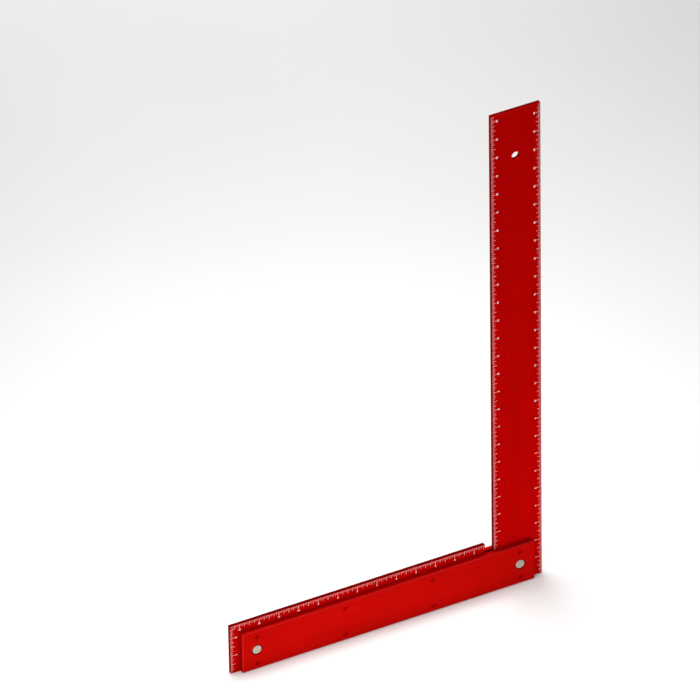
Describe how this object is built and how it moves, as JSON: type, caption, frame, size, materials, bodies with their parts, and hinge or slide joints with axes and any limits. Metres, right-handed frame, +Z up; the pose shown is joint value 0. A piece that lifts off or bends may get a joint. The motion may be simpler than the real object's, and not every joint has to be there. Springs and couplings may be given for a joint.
{
  "type": "try square",
  "caption": "Large L-shaped try square: a one-piece graduated blade with a bevelled cheek plate pinned on each face of its base bar, a corner relief notch and a hang hole.",
  "frame": {"origin": "middle of the base's bottom edge, on the mid-plane of the blade", "axes": "+Z up the long leg; +X along the base towards the long leg; -Y out of the front face"},
  "size_m": [0.4064, 0.0174, 0.6731],
  "materials": {
    "blade": "satin red anodised",
    "cheek": "satin red anodised, machined bevels",
    "dowel": "faced and lightly turned",
    "rivet": "satin red anodised",
    "graduations": "pale laser-engraved marks"
  },
  "bodies": {
    "root": {"blade": "blade", "front_cheek": "cheek", "back_cheek": "cheek", "dowel_left": "dowel", "dowel_right": "dowel", "rivet_1_lower": "rivet", "rivet_1_upper": "rivet", "rivet_2_lower": "rivet", "rivet_2_upper": "rivet", "rivet_3_lower": "rivet", "rivet_3_upper": "rivet", "rivet_4_lower": "rivet", "rivet_4_upper": "rivet"}
  },
  "joints": []
}
